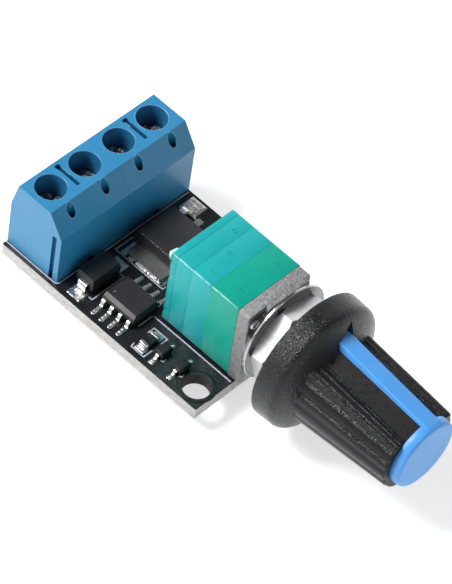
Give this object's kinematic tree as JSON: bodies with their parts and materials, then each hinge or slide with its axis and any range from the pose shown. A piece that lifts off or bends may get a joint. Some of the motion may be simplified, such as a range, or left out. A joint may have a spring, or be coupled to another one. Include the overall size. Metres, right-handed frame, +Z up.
{
  "type": "motor speed controller board",
  "caption": "Small black control board with a blue screw terminal block, a teal rotary potentiometer with switch, and a black knob with a sky-blue pointer cap.",
  "frame": {"origin": "midway between the two mounting holes, on the underside of the circuit board", "axes": "+Z up out of the component side, +Y along the board towards the terminal block, +X to the right seen from the knob; the knob points along -Y"},
  "size_m": [0.0215, 0.0523, 0.0173],
  "materials": {
    "solder_mask_black": "glossy black solder mask on glass-fibre board, raw off-white edges",
    "solder_tin": "uneven hot-air solder, soft shine",
    "terminal_blue": "moulded blue plastic, satin",
    "screw_steel": "zinc-plated steel",
    "cage_brass": "nickel-washed brass",
    "tinned_contact": "tin-plated brass strip",
    "die_cast_zinc": "grey die-cast zinc, grainy",
    "pot_green": "satin green moulding",
    "pot_teal": "satin teal moulding",
    "shaft_aluminium": "turned aluminium, knurled end",
    "rotor_black": "black moulding",
    "spring_bronze": "phosphor bronze",
    "phenolic_brown": "phenolic paper board with carbon track",
    "nylon_ivory": "natural nylon",
    "washer_steel": "plated steel, thin",
    "nut_plated": "bright nickel plate, finely brushed",
    "knob_black": "spark-textured black plastic",
    "cap_blue": "satin sky-blue plastic",
    "package_black": "moulded epoxy",
    "lead_tin": "matt tin plate",
    "chip_glass_black": "black glass overcoat",
    "chip_ceramic_tan": "fired ceramic",
    "chip_end_tin": "tin end caps"
  },
  "bodies": {
    "board": {"pcb": "solder_mask_black", "smd_pads": "solder_tin", "solder_joints": "solder_tin", "terminal_housing_left": "terminal_blue", "terminal_housing_right": "terminal_blue", "terminal_contact_1": "tinned_contact", "terminal_contact_2": "tinned_contact", "terminal_contact_3": "tinned_contact", "terminal_contact_4": "tinned_contact", "pot_front_plate": "die_cast_zinc", "pot_front_case": "pot_green", "pot_switch_base": "pot_teal", "pot_switch_case": "pot_teal", "pot_back_cover": "pot_teal", "resistive_element": "phenolic_brown", "pot_terminals": "tinned_contact", "switch_contact": "spring_bronze", "switch_terminals": "tinned_contact", "lock_washer": "washer_steel", "hex_nut": "nut_plated", "mosfet_body": "package_black", "mosfet_tab": "lead_tin", "mosfet_leads": "lead_tin", "timer_body": "package_black", "timer_leads": "lead_tin", "flyback_diode_body": "package_black", "flyback_diode_leads": "lead_tin", "steering_diode_1_body": "package_black", "steering_diode_1_leads": "lead_tin", "steering_diode_2_body": "package_black", "steering_diode_2_leads": "lead_tin", "resistor_body": "chip_glass_black", "resistor_caps": "chip_end_tin", "timing_capacitor_body": "chip_ceramic_tan", "timing_capacitor_caps": "chip_end_tin", "bypass_capacitor_body": "chip_ceramic_tan", "bypass_capacitor_caps": "chip_end_tin", "gate_resistor_body": "chip_glass_black", "gate_resistor_caps": "chip_end_tin"},
    "control": {"pot_shaft": "shaft_aluminium", "pot_rotor": "rotor_black", "pot_wiper": "spring_bronze", "switch_cam": "nylon_ivory", "knob_body": "knob_black", "knob_cap": "cap_blue"},
    "switch_rocker": {"switch_lever": "nylon_ivory"},
    "screw_1": {"terminal_screw_1": "screw_steel"},
    "cage_1": {"clamp_cage_1": "cage_brass"},
    "screw_2": {"terminal_screw_2": "screw_steel"},
    "cage_2": {"clamp_cage_2": "cage_brass"},
    "screw_3": {"terminal_screw_3": "screw_steel"},
    "cage_3": {"clamp_cage_3": "cage_brass"},
    "screw_4": {"terminal_screw_4": "screw_steel"},
    "cage_4": {"clamp_cage_4": "cage_brass"}
  },
  "joints": [
    {"name": "knob_turn", "type": "hinge", "parent": "board", "child": "control", "pos_m": [0, -0.012, 0.0075], "axis": [0, 1, 0], "range_deg": [-161, 139]},
    {"name": "switch_tilt", "type": "hinge", "parent": "board", "child": "switch_rocker", "pos_m": [0, 0.0042, 0.00325], "axis": [0, 1, 0], "range_deg": [-20, 0]},
    {"name": "screw_turn_1", "type": "hinge", "parent": "board", "child": "screw_1", "pos_m": [-0.00728, 0.02445, 0.0086], "axis": [0, 0, 1], "range_deg": [-960, 0]},
    {"name": "cage_lift_1", "type": "slide", "parent": "board", "child": "cage_1", "axis": [0, 0, 1], "range_m": [0, 0.0012]},
    {"name": "screw_turn_2", "type": "hinge", "parent": "board", "child": "screw_2", "pos_m": [-0.0022, 0.02445, 0.0086], "axis": [0, 0, 1], "range_deg": [-960, 0]},
    {"name": "cage_lift_2", "type": "slide", "parent": "board", "child": "cage_2", "axis": [0, 0, 1], "range_m": [0, 0.0012]},
    {"name": "screw_turn_3", "type": "hinge", "parent": "board", "child": "screw_3", "pos_m": [0.00288, 0.02445, 0.0086], "axis": [0, 0, 1], "range_deg": [-960, 0]},
    {"name": "cage_lift_3", "type": "slide", "parent": "board", "child": "cage_3", "axis": [0, 0, 1], "range_m": [0, 0.0012]},
    {"name": "screw_turn_4", "type": "hinge", "parent": "board", "child": "screw_4", "pos_m": [0.00796, 0.02445, 0.0086], "axis": [0, 0, 1], "range_deg": [-960, 0]},
    {"name": "cage_lift_4", "type": "slide", "parent": "board", "child": "cage_4", "axis": [0, 0, 1], "range_m": [0, 0.0012]}
  ],
  "couplings": [
    {"joint": "screw_turn_1", "follows": "cage_lift_1", "rad_per_m": -13963},
    {"joint": "screw_turn_2", "follows": "cage_lift_2", "rad_per_m": -13963},
    {"joint": "screw_turn_3", "follows": "cage_lift_3", "rad_per_m": -13963},
    {"joint": "screw_turn_4", "follows": "cage_lift_4", "rad_per_m": -13963}
  ]
}
